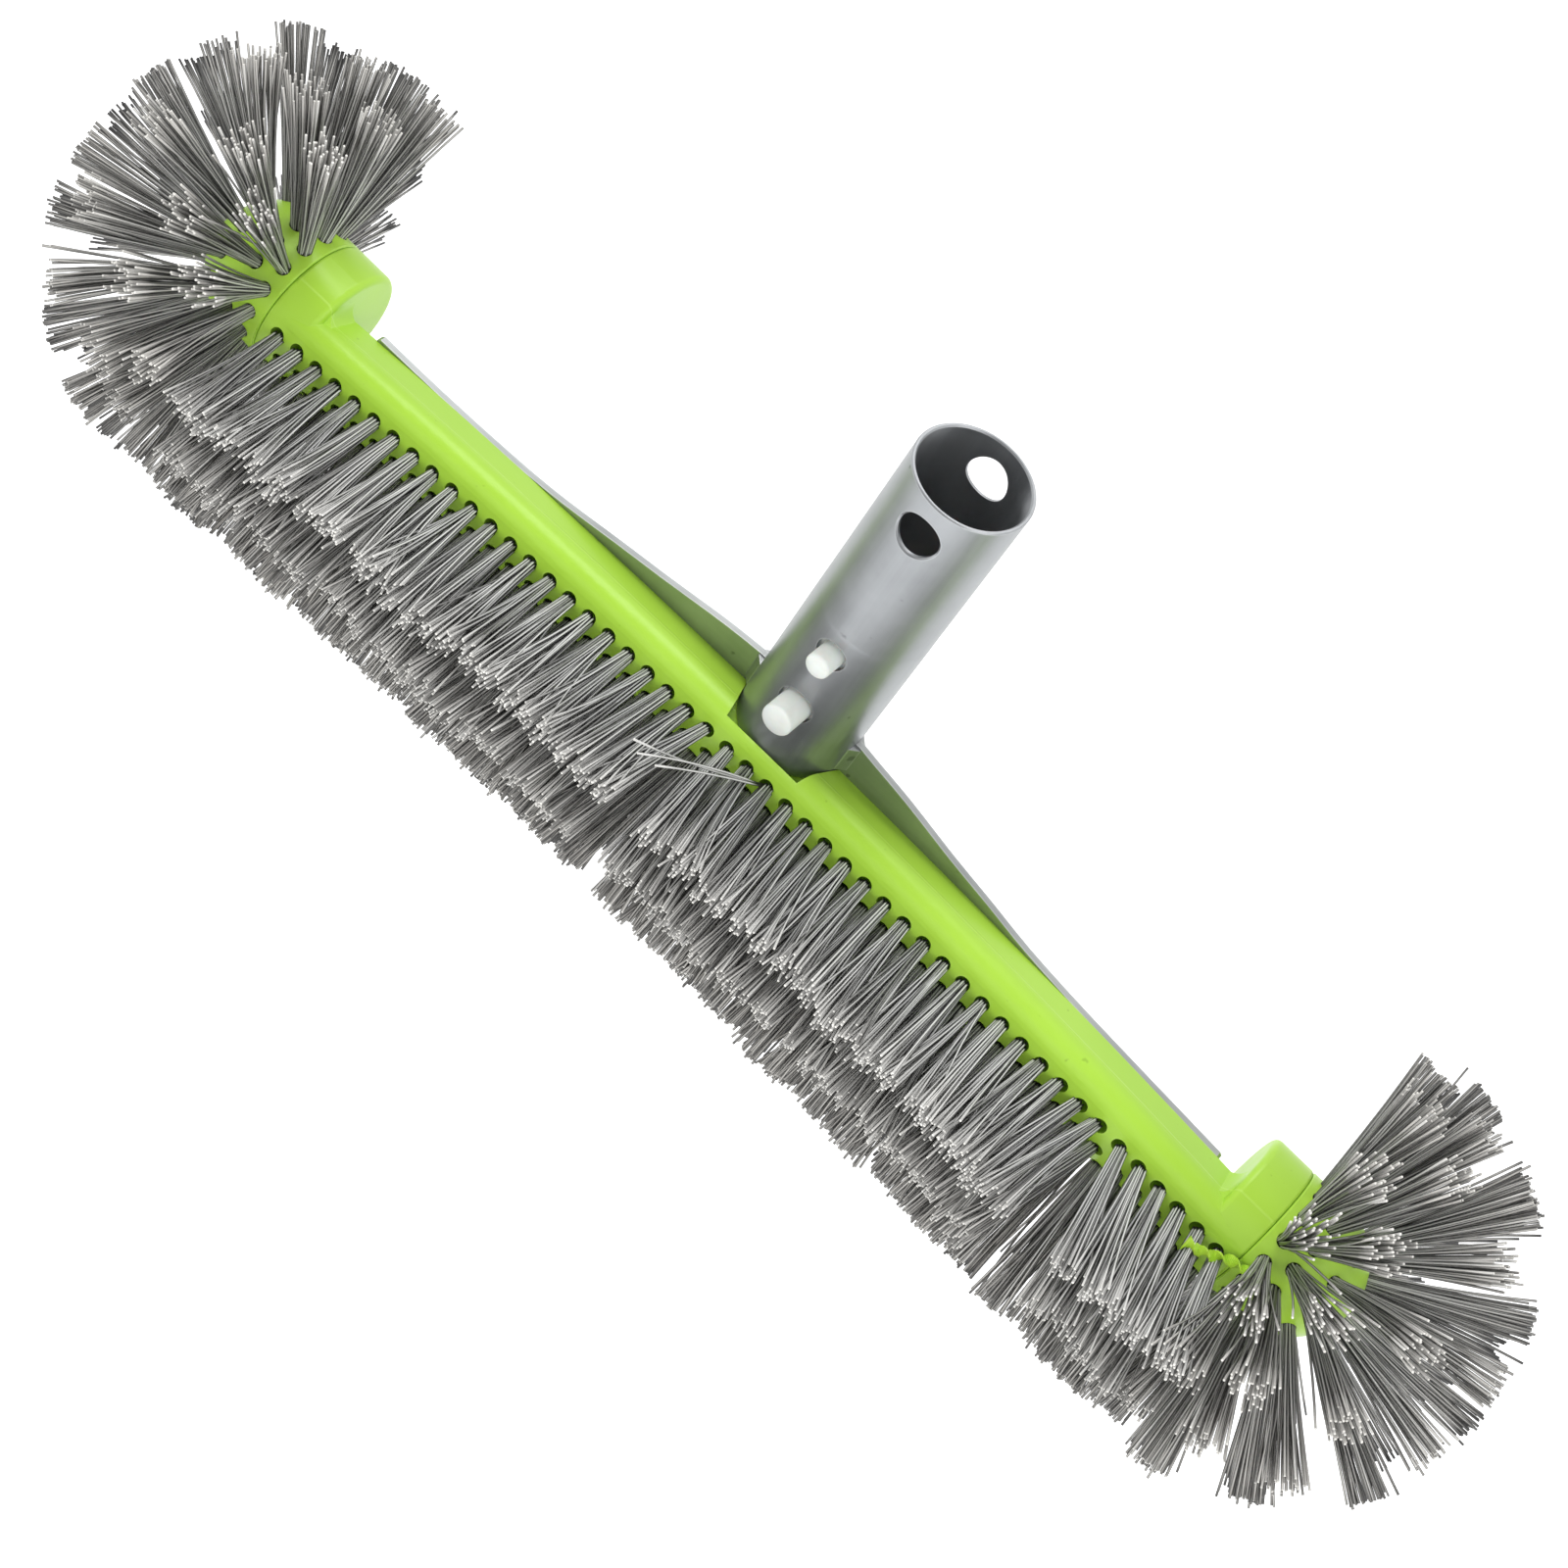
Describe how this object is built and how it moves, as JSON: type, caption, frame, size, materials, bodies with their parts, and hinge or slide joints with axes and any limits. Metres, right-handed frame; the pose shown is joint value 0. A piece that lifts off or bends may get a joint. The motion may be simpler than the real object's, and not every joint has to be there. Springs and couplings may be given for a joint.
{
  "type": "pool wall brush",
  "caption": "Bowed pool wall brush with all-round bristle domes at both ends, an aluminium backing plate and a pole spigot with sprung lock buttons.",
  "frame": {"origin": "centre of the handle tube's open mouth, at its end plane", "axes": "+Z out of the mouth along the handle tube, +X along the brush bar, -Y is the front, the side the top row of bristles points to"},
  "size_m": [0.451, 0.1153, 0.1685],
  "materials": {
    "tube_aluminium": "satin",
    "plate_aluminium": "mill finish",
    "green_plastic": "moulded, semi-gloss",
    "white_plastic": "moulded, slightly translucent",
    "bristle": "drawn filament",
    "screw_steel": "zinc plated",
    "anchor_wire": "bright wire"
  },
  "bodies": {
    "root": {"bar_tuft_anchors": "anchor_wire", "brush_bar": "green_plastic", "clip_bridge": "white_plastic", "dome_screws": "screw_steel", "dome_tuft_anchors_left": "anchor_wire", "dome_tuft_anchors_right": "anchor_wire", "dome_tufts_left_crown": "bristle", "dome_tufts_left_ring_1": "bristle", "dome_tufts_left_ring_2": "bristle", "dome_tufts_left_ring_3": "bristle", "dome_tufts_left_ring_4": "bristle", "dome_tufts_right_crown": "bristle", "dome_tufts_right_ring_1": "bristle", "dome_tufts_right_ring_2": "bristle", "dome_tufts_right_ring_3": "bristle", "dome_tufts_right_ring_4": "bristle", "end_dome_left": "green_plastic", "end_dome_right": "green_plastic", "handle_tube": "tube_aluminium", "plate_screws": "screw_steel", "plate_washers": "screw_steel", "support_plate": "plate_aluminium", "tube_weld_beads": "plate_aluminium", "tuft_row_1": "bristle", "tuft_row_2": "bristle", "tuft_row_3": "bristle", "tuft_row_4": "bristle", "tuft_row_5": "bristle"},
    "clip_front": {"clip_leg_front": "white_plastic"},
    "clip_rear": {"clip_leg_rear": "white_plastic"}
  },
  "joints": [
    {"name": "front_button_press", "type": "hinge", "parent": "root", "child": "clip_front", "pos_m": [0, -0.011, -0.0943], "axis": [-1, 0, 0], "range_deg": [0, 8.5], "stiffness_Nm_per_rad": 1},
    {"name": "rear_button_press", "type": "hinge", "parent": "root", "child": "clip_rear", "pos_m": [0, 0.011, -0.0943], "axis": [1, 0, 0], "range_deg": [0, 8.5], "stiffness_Nm_per_rad": 1}
  ]
}
